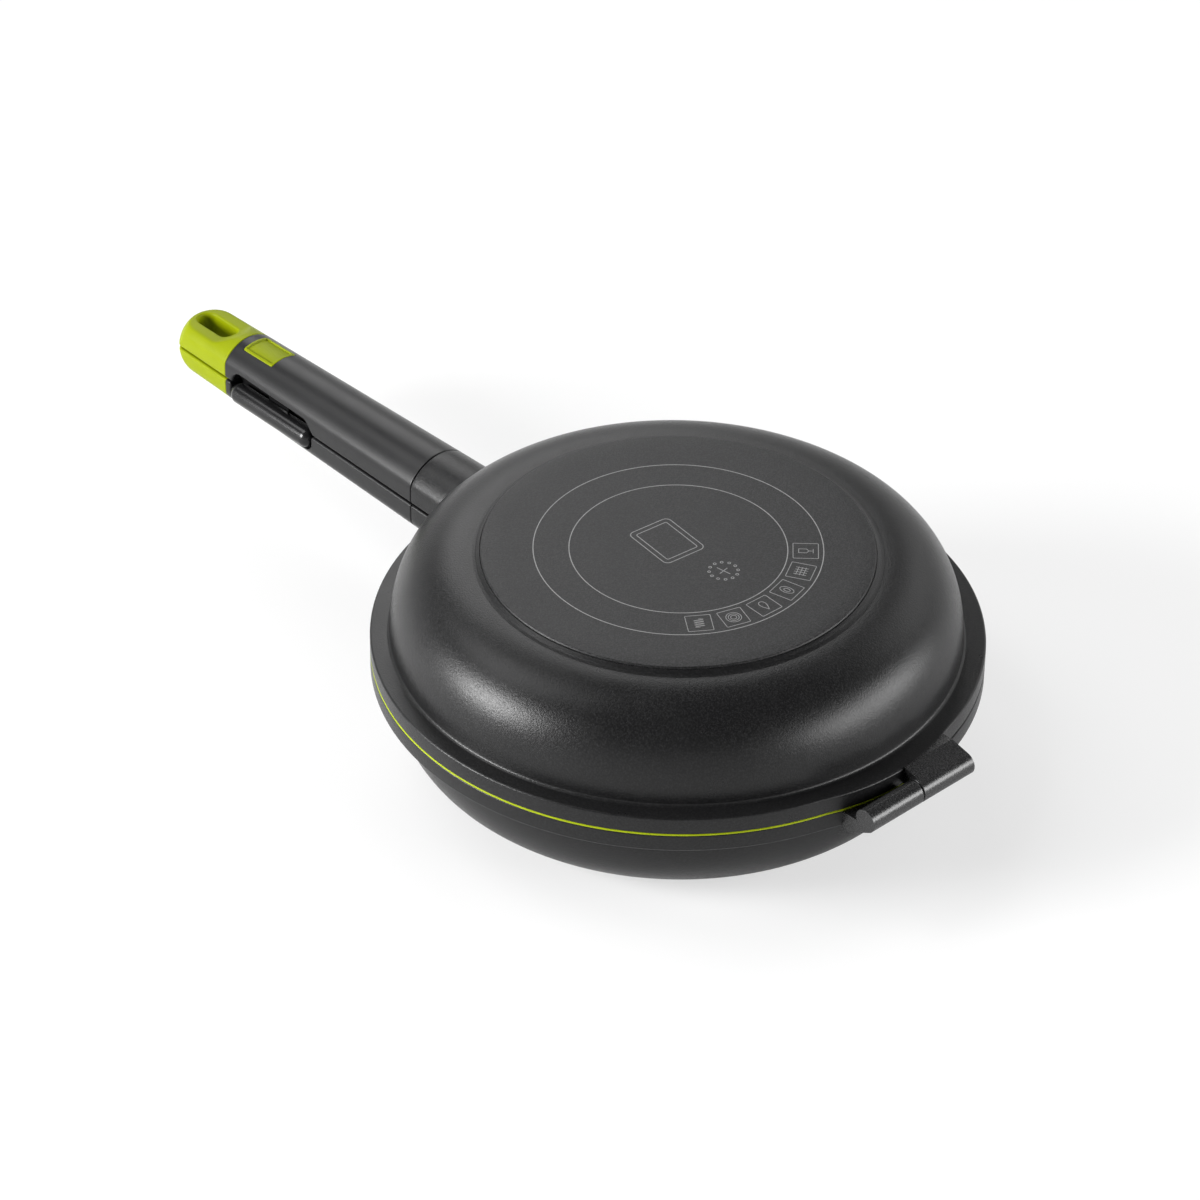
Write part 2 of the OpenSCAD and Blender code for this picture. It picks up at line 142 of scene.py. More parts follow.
def meshFrom(name, shells):                       # shells: (points in mm, faces, material)
    points, faces, slots, start = [], [], [], 0
    for shell in shells:
        part, quads = shell[0], shell[1]
        points.append(part)
        faces += [[i + start for i in f] for f in quads]
        slots += [shell[2] if len(shell) > 2 else 0] * len(quads)
        start += len(part)
    mesh = bpy.data.meshes.new(name)
    mesh.from_pydata((np.concatenate(points) * 0.001).tolist(), [], faces)
    mesh.polygons.foreach_set("material_index", slots)
    tidyMesh(mesh)
    return mesh


def newObject(name, mesh):
    item = bpy.data.objects.new(name, mesh)
    scene.collection.objects.link(item)
    return item


def baked(item):                                  # the mesh with its modifiers applied
    graph = bpy.context.evaluated_depsgraph_get()
    mesh = bpy.data.meshes.new_from_object(item.evaluated_get(graph))
    item.modifiers.clear()
    item.data = mesh
    return item


def cutAway(item, shells, half="upper"):          # takes closed shells out of a piece
    for points, faces in shells:
        cutter = newObject("cutter", meshFrom("cutter", [(place(points, half), faces)]))
        cutWith(item, cutter)
    return item


def cutWith(item, cutter):
    step = item.modifiers.new("cut", "BOOLEAN")
    step.operation, step.solver, step.object = "DIFFERENCE", "EXACT", cutter
    baked(item)
    bpy.data.objects.remove(cutter)


def softEdges(item, width, angle=35, segments=2):
    step = item.modifiers.new("edges", "BEVEL")
    step.width, step.segments, step.limit_method = width * 0.001, segments, "ANGLE"
    step.angle_limit, step.use_clamp_overlap = np.radians(angle), True
    return baked(item)


def ready(item, body, materials, replaced=(), angle=32, even=False):
    for m in materials:
        item.data.materials.append(m)
    item.data.shade_smooth()
    item.data.set_sharp_from_angle(angle=np.radians(angle))
    if even:                                      # big faces lead where small ones meet them
        step = item.modifiers.new("normals", "WEIGHTED_NORMAL")
        step.keep_sharp = True
        baked(item)
    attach(item, body)
    if replaced:
        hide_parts(*replaced)
    return item


class Wire:                                       # a socket that takes part in arithmetic
    def __init__(self, bench, socket):
        self.bench, self.socket = bench, socket

    def maths(self, operation, *values):
        return self.bench.node("ShaderNodeMath", {"operation": operation},
                               dict(enumerate(values)))

    def __add__(self, other):
        return self.maths("ADD", self, other)

    def __sub__(self, other):
        return self.maths("SUBTRACT", self, other)

    def __rsub__(self, other):
        return self.maths("SUBTRACT", other, self)

    def __mul__(self, other):
        return self.maths("MULTIPLY", self, other)

    __radd__, __rmul__ = __add__, __mul__


class Bench:                                      # the nodes of a new material, or of the world
    def __init__(self, name, world=None):
        self.material = world or bpy.data.materials.new(name)
        self.material.use_nodes = True
        self.tree = self.material.node_tree
        self.tree.nodes.clear()
        self.output = self.tree.nodes.new(
            "ShaderNodeOutputWorld" if world else "ShaderNodeOutputMaterial")

    def node(self, kind, settings=None, inputs=None, out=0):
        made = self.tree.nodes.new(kind)
        for key, value in (settings or {}).items():
            setattr(made, key, value)
        for key, value in (inputs or {}).items():
            if isinstance(value, Wire):
                self.tree.links.new(value.socket, made.inputs[key])
            else:
                made.inputs[key].default_value = value
        return Wire(self, made.outputs[out])

    def here(self):                               # Object coordinates
        return self.node("ShaderNodeTexCoord", out="Object")

    def noise(self, scale, detail=2.0, rough=0.5):
        return self.node("ShaderNodeTexNoise", {}, {"Vector": self.here(), "Scale": scale,
                         "Detail": detail, "Roughness": rough})

    def blend(self, share, first, second):        # colours, by a share from 0 to 1
        return self.node("ShaderNodeMix", {"data_type": "RGBA"},
                         {0: share, 6: (*first, 1), 7: (*second, 1)}, 2)

    def bump(self, height, strength, distance):
        return self.node("ShaderNodeBump", {}, {"Height": height, "Strength": strength,
                         "Distance": distance * 0.001})

    def finish(self, shader):
        self.tree.links.new(shader.socket, self.output.inputs["Surface"])
        return self.material

    def surface(self, **values):                  # sockets by name, with _ for a space
        return self.finish(self.node("ShaderNodeBsdfPrincipled", {}, {
            k.replace("_", " "): v for k, v in values.items()}, "BSDF"))


speckRange = (0.44, 0.72)                         # noise at which a grain starts and is full


# Sandy non-stick coating: fine grains that are lighter and duller than the ground between
# them, over broad faint patches.
def coating(name, look):
    m = Bench(name)
    grain = m.noise(look["grain"], 3.0, 0.65)
    patches = m.noise(look["patches"], 3.0)
    speck = m.node("ShaderNodeMapRange", {}, {0: grain, 1: speckRange[0], 2: speckRange[1]})
    tone = m.blend(speck * 0.8 + patches * 0.2, look["dark"], look["light"])
    rough = look["rough"] + (patches - 0.5) * 0.08 + (speck - 0.5) * 0.14
    return m.surface(Base_Color=tone, Roughness=rough, Specular_IOR_Level=look["gloss"],
                     Normal=m.bump(grain, look["bump"], look["depth"]))


outsideLook = {"dark": (0.0065, 0.0065, 0.0068), "light": (0.018, 0.018, 0.0185), "rough": 0.36,
               "gloss": 0.28, "grain": 1200.0, "patches": 45.0, "bump": 0.9, "depth": 0.12}
hingeLook = {"dark": (0.009, 0.009, 0.0093), "light": (0.028, 0.028, 0.029), "rough": 0.30,
             "gloss": 0.55, "grain": 1500.0, "patches": 45.0, "bump": 0.5, "depth": 0.10}
baseLook = {"dark": (0.004, 0.004, 0.0043), "light": (0.038, 0.038, 0.039), "rough": 0.44,
            "gloss": 0.26, "grain": 1200.0, "patches": 40.0, "bump": 0.8, "depth": 0.16}
cookingLook = {"dark": (0.013, 0.013, 0.0135), "light": (0.024, 0.024, 0.025), "rough": 0.28,
               "gloss": 0.3, "grain": 2400.0, "patches": 60.0, "bump": 0.22, "depth": 0.06}


# Moulded plastic or silicone: a fine grain, and clouds that change its tone and gloss a little.
def moulded(name, look):
    m = Bench(name)
    grain, haze = m.noise(look["grain"], 2.0), m.noise(look["haze"], 2.0)
    tone = m.blend(haze, look["dark"], look["light"])
    return m.surface(Base_Color=tone, Roughness=look["rough"] + (haze - 0.5) * look["cloud"],
                     Specular_IOR_Level=look["gloss"],
                     Normal=m.bump(grain, look["bump"], look["depth"]))


gripLook = {"dark": (0.010, 0.010, 0.0105), "light": (0.014, 0.014, 0.0145), "rough": 0.34,
            "gloss": 0.28, "grain": 2600.0, "haze": 55.0, "cloud": 0.08, "bump": 0.14,
            "depth": 0.05}
barLook = {"dark": (0.007, 0.007, 0.0075), "light": (0.010, 0.010, 0.0105), "rough": 0.22,
           "gloss": 0.35, "grain": 900.0, "haze": 55.0, "cloud": 0.08, "bump": 0.04,
           "depth": 0.02}
limeLook = {"dark": (0.20, 0.24, 0.001), "light": (0.235, 0.28, 0.002), "rough": 0.40,
            "gloss": 0.10, "grain": 1800.0, "haze": 80.0, "cloud": 0.06, "bump": 0.15,
            "depth": 0.04}
sealLook = {"dark": (0.30, 0.37, 0.002), "light": (0.34, 0.41, 0.004), "rough": 0.46,
            "gloss": 0.18, "grain": 1800.0, "haze": 80.0, "cloud": 0.06, "bump": 0.10,
            "depth": 0.04}


def metal(name, look):                            # turned or ground metal, fine streaks
    m = Bench(name)
    along = m.node("ShaderNodeMapping", {}, {"Vector": m.here(), "Scale": look["stretch"]})
    streaks = m.node("ShaderNodeTexNoise", {}, {"Vector": along, "Scale": 900.0,
                                                "Detail": 3.0})
    tone = m.blend(streaks, look["dark"], look["light"])
    return m.surface(Base_Color=tone, Metallic=1.0,
                     Roughness=look["rough"] + (streaks - 0.5) * 0.16,
                     Normal=m.bump(streaks, 0.2, 0.02))


steelLook = {"dark": (0.48, 0.49, 0.50), "light": (0.62, 0.63, 0.64), "rough": 0.28,
             "stretch": (0.08, 1.0, 1.0)}
brassLook = {"dark": (0.55, 0.39, 0.15), "light": (0.68, 0.50, 0.22), "rough": 0.30,
             "stretch": (1.0, 1.0, 0.08)}


def engraving(name, look):                        # laser marks: pale grey, dull, uneven
    m = Bench(name)
    wear = m.noise(900.0, 3.0)
    tone = m.blend(wear, look["dark"], look["light"])
    return m.surface(Base_Color=tone, Roughness=look["rough"] + (wear - 0.5) * 0.2)


marksLook = {"dark": (0.16, 0.16, 0.16), "light": (0.34, 0.34, 0.34), "rough": 0.6}

outside = coating("castOutside", outsideLook)
hingeCoat = coating("hingeCoat", hingeLook)
baseCoat = coating("baseCoat", baseLook)
cooking = coating("cookingSide", cookingLook)
gripBlack = moulded("gripBlack", gripLook)
glossBlack = moulded("glossBlack", barLook)
lime = moulded("limeSilicone", limeLook)
sealLime = moulded("sealSilicone", sealLook)
steel = metal("steel", steelLook)
brass = metal("brass", brassLook)
marks = engraving("laserMarks", marksLook)
print("materials made")

pan = {
    "rimRadius": 120.0, "wallRadius": 123.4, "flangeRadius": 131.97,
    "faceHeight": 0.5, "flangeTop": 8.4, "shoulderRadius": 88.0, "bodyHeight": 48.0,
    "floorRadius": 84.0, "floorHeight": 43.6,
    "curveFlat": 0.94, "curveFull": 0.81, "wallFillet": 1.5, "edgeRound": 0.9,
    "foot": [(86.4, 48.45), (84.65, 50.0), (84.55, 49.0)], "footCove": 1.6,
    "discSeat": 49.0, "segments": 288,
}


# A quarter of an ellipse that stands fuller than a true one: cosine and sine each have a power
# of their own. It runs from the wall up to the base.
def squaredQuarter(r0, z0, a, b, steps=56):
    t = np.radians(np.linspace(0, 90, steps + 1)[1:-1])
    return np.stack([r0 + a * np.cos(t) ** pan["curveFlat"],
                     z0 + b * np.sin(t) ** pan["curveFull"]], -1)


def outerRadius(z):                               # radius of the outer wall at height z
    a, b = pan["wallRadius"] - pan["shoulderRadius"], pan["bodyHeight"] - pan["flangeTop"]
    s = np.clip((z - pan["flangeTop"]) / b, 0, 1) ** (1 / pan["curveFull"])
    return pan["shoulderRadius"] + a * np.sqrt(1 - s ** 2) ** pan["curveFlat"]


swelling = {
    "middle": 44.4, "radius": 90.0, "circle": 132.0, "soft": 0.3, "start": 126.0, "over": 6.0,
    "bump": 1.25, "bumpAngle": 43.0, "bumpSpread": 31.0,
}


def rimShare(r):                                  # 0 on the flange's inner part, 1 at its edge
    return np.clip((r - swelling["start"]) / swelling["over"], 0, 1)


# The flange swells out towards the hinge: its edge leaves its own circle softly for a smaller
# circle that stands off the middle, and the flange's face follows it by a growing share. On
# the +y side of the hinge a low bump is added to it; side is -1 for the lower half.
def swell(points, side):
    s = swelling
    r, t = np.hypot(points[:, 0], points[:, 1]), np.arctan2(points[:, 1], points[:, 0])
    extra = (s["middle"] * np.cos(t) + np.sqrt(s["radius"] ** 2 - (s["middle"] * np.sin(t)) ** 2)
             - s["circle"])
    extra = (extra + np.sqrt(extra ** 2 + s["soft"] ** 2)) / 2
    away = (np.degrees(side * t) - s["bumpAngle"]) / s["bumpSpread"]
    extra = extra + s["bump"] * np.exp(-away ** 4)
    scale = 1 + extra * rimShare(r) / np.maximum(r, 1)
    return points * np.stack([scale, scale, np.ones_like(scale)], -1)


# The casting's bowl: the cooking side and the outside are two profiles turned about the Z axis.
# They meet at the inner rim, and the outside is then swollen towards the hinge.
def bowlSkins(side):
    top, face = pan["flangeTop"], pan["faceHeight"]
    inner = squaredQuarter(pan["floorRadius"], top, pan["rimRadius"] - pan["floorRadius"],
                           pan["floorHeight"] - top)[::-1]
    rim = rounded([inner[-1], [pan["rimRadius"], top], [pan["rimRadius"], face],
                   [pan["flangeRadius"], face], [pan["flangeRadius"], top],
                   [pan["wallRadius"], top], [pan["wallRadius"] - 0.02, top + 3.2]],
                  {2: 0.7, 3: 0.5, 4: pan["edgeRound"], 5: pan["wallFillet"]}, 7)
    outer = squaredQuarter(pan["shoulderRadius"], top,
                           pan["wallRadius"] - pan["shoulderRadius"],
                           pan["bodyHeight"] - top)
    outer = outer[(outer[:, 1] > top + 3.4) & (outer[:, 0] > pan["shoulderRadius"] + 1.2)]
    cove = pan["footCove"]
    foot = rounded([outer[-1], [pan["shoulderRadius"], pan["bodyHeight"]], *pan["foot"],
                    [0, pan["discSeat"]]], {1: cove, 2: cove, 3: 0.3}, 5)
    floor = np.linspace(0, pan["floorRadius"], 9)
    bowl = np.concatenate([np.stack([floor, np.full(9, pan["floorHeight"])], -1), inner])
    bowlSkin, bowlFaces = turned(bowl, pan["segments"])
    skin, skinFaces = turned(np.concatenate([rim, outer, foot[1:]]), pan["segments"])
    return [(bowlSkin, bowlFaces, 1), (swell(skin, side), skinFaces, 0)]


handle = {
    "seamX": -154.6, "capX": -288.0, "startRadius": 19.6, "endRadius": 16.7,
    "flatShare": 0.87, "softness": 44.0, "gap": 0.7,
}
neckForm = {
    "slotEnd": -142.0, "padRows": [-138.0, -136.0], "padGap": 0.12, "padLip": 0.35,
    "edgeRadius": 132.2, "wallX": -124.0, "fillet": 3.0, "sunk": 1.4,
}


def handleRadius(x):                     # straight taper from the neck to the end cap
    share = (handle["seamX"] - x) / (handle["seamX"] - handle["capX"])
    return handle["startRadius"] + (handle["endRadius"] - handle["startRadius"]) * share


def sideFlat(x):                                  # half width of the handle between its flats
    return handle["flatShare"] * handleRadius(x)


# One outline of half the handle for each x, from the parting plane on the +y side over the
# crest and down again. Its distance from the axis is a power mean of the round bar, the side
# flats and a ceiling, so that their corners are soft. Near the parting plane the points lie
# close together, where the lip is rounded.
def halfRows(x, radius, side, ceiling, gap, lip, steps=96):
    x, radius, side, ceiling, gap, lip = [
        v[:, None] for v in np.broadcast_arrays(*[np.atleast_1d(np.asarray(v, float))
                                                  for v in (x, radius, side, ceiling, gap, lip)])]
    fade = 1 - np.cos(np.radians(np.linspace(0, 90, 9)))[None]
    low = gap + np.minimum(lip, 0.995 * (radius - gap)) * fade
    start = np.arctan2(low, np.minimum(side, np.sqrt(np.maximum(radius ** 2 - low ** 2, 1e-8))))
    middle = start[:, -1:] + (np.pi - 2 * start[:, -1:]) * np.linspace(0, 1, steps + 1)[None, 1:-1]
    angle = np.concatenate([start, middle, np.pi - start[:, ::-1]], 1)
    p = handle["softness"]
    reach = (radius ** -p + (np.abs(np.cos(angle)) / side) ** p
             + (np.abs(np.sin(angle)) / ceiling) ** p) ** (-1 / p)
    y, z = reach * np.cos(angle), reach * np.sin(angle)
    z[:, :9], z[:, -9:] = low, low[:, ::-1]
    return np.stack([x + 0 * y, y, z], -1)


# How far the skin stands back at a height over the parting face, where its lip is rounded.
def lipBack(height, lip):
    depth = np.clip(lip - height, 0, lip)
    return lip - np.sqrt(np.maximum(lip ** 2 - depth ** 2, 0))


def endRound(size, steps=6):                      # how far rows at an end stand back and in
    t = np.radians(np.linspace(0, 90, steps))
    return size * (1 - np.cos(t)), size * (1 - np.sin(t))


# Outlines of half the tapered handle at each x, inset from its skin, with the lip by the
# parting face rolled in.
def handleRows(x, inset=0.0, gap=handle["gap"], lip=0.95, ceiling=60.0):
    radius = handleRadius(x)
    rows = halfRows(x, radius - inset, sideFlat(x) - inset, ceiling, gap, lip)
    gap, lip = [np.broadcast_to(v, x.shape)[:, None] for v in (gap, lip)]
    rows[..., 1] -= np.sign(rows[..., 1]) * lipBack(rows[..., 2] - gap, lip)
    return rows


# The cast neck from the grip's seam to the wall: outlines along the handle, closing on the
# other half behind the slot and bent round the flange's edge.
def neckShell():
    n, seam, gap = neckForm, handle["seamX"], handle["gap"]
    forward, inset = endRound(0.5)
    x = np.concatenate([seam + forward, np.linspace(seam + 3, n["slotEnd"], 6)])
    rows = list(handleRows(x, np.append(inset, np.zeros(6))))
    rows += list(handleRows(np.array([n["slotEnd"], *n["padRows"]]), 0, n["padGap"],
                            n["padLip"]))
    edge, inside = handleRows(-np.full(2, n["edgeRadius"]), 0, np.array([n["padGap"], gap]),
                              n["padLip"])
    edge[:, 0] = -np.sqrt(n["edgeRadius"] ** 2 - edge[:, 1] ** 2)
    inside[:, 0] = edge[:, 0]
    rows += [edge, inside]
    # along the wall the skin flares out in a quarter round, so that it runs into the wall
    last = handleRows(np.array([n["wallX"]]), 0, gap, n["padLip"])[0]
    normal = last[:, 1:] / np.hypot(last[:, 1], last[:, 2])[:, None]
    flat = np.abs(last[:, 1]) > 0.985 * sideFlat(n["wallX"])
    normal[flat] = np.column_stack([np.sign(last[flat, 1]), 0 * last[flat, 1]])
    normal[last[:, 2] < 2] = 0
    fillet = n["fillet"]
    for a in np.radians(np.linspace(0, 90, 8)):
        flare = last[:, 1:] + normal * fillet * (1 - np.cos(a))
        wall = -np.sqrt(outerRadius(np.maximum(flare[:, 1], 0)) ** 2 - flare[:, 0] ** 2)
        back = fillet * (1 - np.sin(a)) - 0.25 * np.sin(a) ** 4
        rows.append(np.column_stack([wall - back, flare]))
    inner = rows[-1].copy()
    inner[:, 0] += n["sunk"]
    return closedTube(np.stack(rows + [inner]))


hinge = {
    "x": 142.9, "barrel": 5.3, "rise": 1.8, "width": 29.5, "slit": 0.5, "slitY": 1.7,
    "step": 1.0, "edgeX": 134.6, "edgeTop": 8.9, "edgeRound": 0.45, "bore": 2.55,
    "seat": 3.8, "seatDepth": 1.3, "bevel": 0.4, "lowerBevel": 0.95,
}


# A lug on the +y side. Each outline is a flat top that starts at the flange's swollen edge,
# slopes down and runs into the barrel, then the barrel, and back under; the outlines are
# carried along y. The first millimetre beside the slit has the barrel alone.
def lugShells(side):
    h = hinge
    rise, start = side * h["rise"], side * h["slitY"] + h["slit"] / 2
    a, b = h["x"] - h["edgeX"], h["edgeTop"] - rise
    lean = np.degrees(np.arccos(h["barrel"] / np.hypot(a, b)) - np.arctan2(a, b))
    low = np.degrees(np.arcsin((rise - pan["faceHeight"]) / h["barrel"]))
    nose = arc(h["x"], rise, h["barrel"], 90 - lean, -180 + low, 44)
    y = np.linspace(start + h["step"], start + h["width"], 26)
    edge = swelling["middle"] + np.sqrt(swelling["radius"] ** 2 - y ** 2) - 0.25
    rows = []
    for across, x in zip(y, edge):
        line = rounded([[x, pan["faceHeight"]], [x, h["edgeTop"] - 0.1],
                        [h["edgeX"], h["edgeTop"]], nose[0]], {1: h["edgeRound"], 2: 2.0}, 5)
        line = np.concatenate([line, nose[1:]])
        rows.append(np.column_stack([line[:, 0], np.full(len(line), across), line[:, 1]]))
    barrel = arc(h["x"], rise, h["barrel"], 0, 360, 72)[:-1]
    return prism(barrel, start, start + h["step"] + 0.6), closedTube(np.stack(rows))


tang = {
    "start": -153.0, "end": -216.6, "width": 15.0, "low": 2.3, "high": 8.3,
    "holes": [-168.6, -202.6], "hole": 2.1, "recess": 3.7, "recessDepth": 2.2, "play": 0.1,
}


def makeTang(half):                               # the bar inside the grip, with screw holes
    start, end, wide = tang["start"], tang["end"], tang["width"] / 2
    outline = rounded([[start, 0], [start, wide], [end, wide], [end, -wide], [start, -wide],
                       [start, 0]], {2: 1.5, 3: 1.5}, 6)[1:]
    points, faces = prism(outline, tang["low"], tang["high"], "Z")
    item = newObject(half + "Tang", meshFrom(half + "Tang", [(place(points, half), faces)]))
    for x in tang["holes"]:
        cutAway(item, [rod((x, 0), tang["hole"], 0, 12),
                       rod((x, 0), tang["recess"], 0, tang["low"] + tang["recessDepth"])], half)
    softEdges(item, 0.3, 40)
    return ready(item, half, [outside], [half + "_pan"], 30)


def makeCasting(half):
    side = 1 if half == "upper" else -1
    shells = [(place(p, half), f, m) for p, f, m in bowlSkins(side)]
    item = newObject(half + "Casting", meshFrom(half + "Casting", shells))
    ready(item, half, [outside, cooking], [half + "_pan"], 40)
    points, faces = neckShell()
    neck = newObject(half + "Neck", meshFrom(half + "Neck", [(place(points, half), faces)]))
    ready(neck, half, [outside], [half + "_pan"], 30)
    start = side * hinge["slitY"] + hinge["slit"] / 2
    end = start + hinge["width"]
    axis = (hinge["x"], side * hinge["rise"])
    for name, (points, faces) in zip(("Knuckle", "Lug"), lugShells(side)):
        lug = newObject(half + name, meshFrom(half + name, [(place(points, half), faces)]))
        big = half == "lower" and name == "Lug"
        softEdges(lug, hinge["lowerBevel"] if big else hinge["bevel"], 45, 4)
        bore = end + 1 if side > 0 else end - 3.5
        cutAway(lug, [rod(axis, hinge["bore"], start - 1, bore, "Y")], half)
        if side > 0:
            cutAway(lug, [rod(axis, hinge["seat"], end - hinge["seatDepth"], end + 1, "Y")],
                    half)
        ready(lug, half, [hingeCoat], [half + "_pan"], 30, True)
    makeTang(half)


baseDisc = {"radius": 84.5, "low": 49.0, "side": 50.1, "topRadius": 84.0, "top": 50.67}


def makeBaseDisc(half):                           # a bevelled flat disc, turned about Z
    d = baseDisc
    line = rounded([[0, d["low"]], [d["radius"], d["low"]], [d["radius"], d["side"]],
                    [d["topRadius"], d["top"]], [0, d["top"]]], {2: 0.3, 3: 0.35}, 4)
    flat = np.linspace(1, 0, 12)[1:, None] * (line[-2] * [1, 0]) + [0, d["top"]]
    points, faces = turned(np.concatenate([line[:-1], flat]), 240)
    item = newObject(half + "BaseDisc", meshFrom(half + "BaseDisc",
                                                 [(place(points, half), faces)]))
    return ready(item, half, [baseCoat], [half + "_base_disc"], 40)


# plate: middle x and y, length, width; dots: middle x and y, radius of their ring
engraved = {
    "low": 50.64, "high": 50.70, "line": 0.36, "outer": 61.9, "inner": 46.6, "turn": 8.8,
    "frames": 54.2, "frameAngles": [36.9, 21.1, 5.3, -10.7, -27.0, -43.0], "frame": 10.8,
    "plate": (-7.0, 1.0, 27.0, 21.0), "plateInset": 2.4, "plateCorner": 2.6, "plateTurn": -6.0,
    "dots": (25.0, -1.0, 6.2), "dot": 0.62,
}


# A line of the given width along a path: each point is pushed to both sides along the bisector
# of its corner, and the strip gets a little height.
def ribbon(path, width, closed=True):
    path = np.asarray(path, float)
    after, before = np.roll(path, -1, 0) - path, path - np.roll(path, 1, 0)
    if not closed:
        after[-1], before[0] = before[-1], after[0]
    after = after / np.linalg.norm(after, axis=1)[:, None]
    before = before / np.linalg.norm(before, axis=1)[:, None]
    normal = np.stack([after[:, 1] + before[:, 1], -after[:, 0] - before[:, 0]], -1)
    normal = 2 * normal / np.maximum((normal ** 2).sum(1), 0.8)[:, None]
    left, right = path + normal * width, path - normal * width
    low, high = np.full(len(path), engraved["low"]), np.full(len(path), engraved["high"])
    grid = np.stack([np.column_stack([left, low]), np.column_stack([left, high]),
                     np.column_stack([right, high]), np.column_stack([right, low])], 1)
    if closed:
        return grid.reshape(-1, 3), gridFaces(len(path), 4, True, True).tolist()
    return closedTube(grid)


def oval(x, y, a, b, steps=28):                   # points on an ellipse
    t = np.linspace(0, 2 * np.pi, steps, endpoint=False)
    return np.stack([x + a * np.cos(t), y + b * np.sin(t)], -1)


# Small plain signs for the six frames: a cup, a chequer, an eye, a drop, rings and a coil. The
# drop is an oval whose height is thinned towards one end, the coil is a sine over four turns.
def signPaths(kind):
    if kind == 0:
        return [([(-3, 1.4), (-3, -1.4), (0.4, -1.4), (1.4, 0), (0.4, 1.4)], True),
                ([(1.4, 0), (3.2, 0)], False), ([(3.2, -1.5), (3.2, 1.5)], False)]
    if kind == 1:
        return [([(-2.8, y), (2.8, y)], False) for y in (-2.4, -0.8, 0.8, 2.4)] + [
            ([(x, -2.9), (x, 2.9)], False) for x in (-1.6, 0.0, 1.6)]
    if kind == 2:
        return [(oval(0, 0, 3.3, 1.9), True), (oval(0, 0, 1.5, 0.9), True)]
    if kind == 3:
        a = 2 * np.pi * np.linspace(0, 1, 25)[:-1]
        return [(np.stack([3.1 * np.cos(a), 2.0 * np.sin(a) * np.sin(a / 2) ** 1.2 + 0.2], -1),
                 True)]
    if kind == 4:
        return [(oval(0, 0, r, r), True) for r in (1.3, 2.3, 3.3)]
    t = np.linspace(0, 1, 81)
    return [(np.stack([-2.9 + 5.8 * t, 2.0 * np.sin(8 * np.pi * t)], -1), False)]


def turnedBy(path, degrees, shift=(0, 0)):        # moved first, then turned about the middle
    c, s = np.cos(np.radians(degrees)), np.sin(np.radians(degrees))
    return (np.asarray(path, float) + shift) @ np.array([[c, s], [-s, c]])


# Rings, framed signs, a plain double frame and a ring of dots, all as ribbons on the disc.
def makeMarks(half):
    e, width, shells = engraved, engraved["line"] / 2, []
    for radius in (e["outer"], e["inner"]):
        shells.append(ribbon(oval(0, 0, radius, radius, 240), width * 1.15))
    side = e["frame"] / 2
    square = rounded([[0, -side], [side, -side], [side, side], [-side, side], [-side, -side],
                      [0, -side]], {1: 0.4, 2: 0.4, 3: 0.4, 4: 0.4}, 3)[:-1]
    for kind, angle in enumerate(e["frameAngles"]):
        for path, closed in [(square, True)] + signPaths(kind):
            path = np.asarray(path, float)
            shells.append(ribbon(turnedBy(path, angle + e["turn"], (e["frames"], 0)),
                                 width * 0.8, closed))
    x, y, long, wide = e["plate"]
    for inset in (0.0, e["plateInset"]):
        a, b = long / 2 - inset, wide / 2 - inset
        corner = e["plateCorner"] - inset * 0.7
        path = rounded([[0, -b], [a, -b], [a, b], [-a, b], [-a, -b], [0, -b]],
                       {1: corner, 2: corner, 3: corner, 4: corner}, 6)[:-1]
        middle = turnedBy([(x, y)], e["turn"])
        shells.append(ribbon(turnedBy(path, e["plateTurn"]) + middle, width))
    x, y, radius = e["dots"]
    for angle in range(15, 375, 30):
        spot = oval(x + radius * np.cos(np.radians(angle)), y + radius * np.sin(
            np.radians(angle)), e["dot"], e["dot"], 12)
        shells.append(ribbon(turnedBy(spot, e["turn"]), width * 0.9))
    for ends in (((-3.6, 0), (3.6, 0)), ((0, -2.6), (0, 2.6))):
        shells.append(ribbon(turnedBy(np.array(ends) + [x, y], e["turn"]), width, False))
    item = newObject(half + "Marks", meshFrom(half + "Marks", [
        (place(points, half), faces) for points, faces in shells]))
    return ready(item, half, [marks])


seal = {"inner": 121.0, "outer": 131.95, "low": -0.4, "high": 0.5, "drawnIn": 2.2,
        "drawnAngle": 50.0, "drawnSpread": 40.0}


# The flat seal ring is a turned rectangle with rounded corners. It swells with the rim, and on
# the +y side of the hinge its outer edge lies deeper between the flanges.
def makeSeal():
    low, high = seal["low"], seal["high"]
    mid = (low + high) / 2
    line = rounded([[seal["inner"], mid], [seal["inner"], low], [seal["outer"], low],
                    [seal["outer"], high], [seal["inner"], high], [seal["inner"], mid]],
                   {1: 0.2, 2: 0.3, 3: 0.3, 4: 0.2}, 4)
    points, faces = turned(line, pan["segments"])
    points = swell(points, -1)
    away = (-np.degrees(np.arctan2(points[:, 1], points[:, 0])) - seal["drawnAngle"])
    back = seal["drawnIn"] * np.exp(-(away / seal["drawnSpread"]) ** 6)
    r = np.hypot(points[:, 0], points[:, 1])
    points[:, :2] *= (1 - back * rimShare(r) / r)[:, None]
    item = newObject("sealRing", meshFrom("sealRing", [(place(points, "lower"), faces)]))
    return ready(item, "lower", [sealLime], ["seal_ring"], 40)


for half in ("upper", "lower"):
    makeCasting(half)
    makeBaseDisc(half)
    makeMarks(half)
makeSeal()
print("pans made")

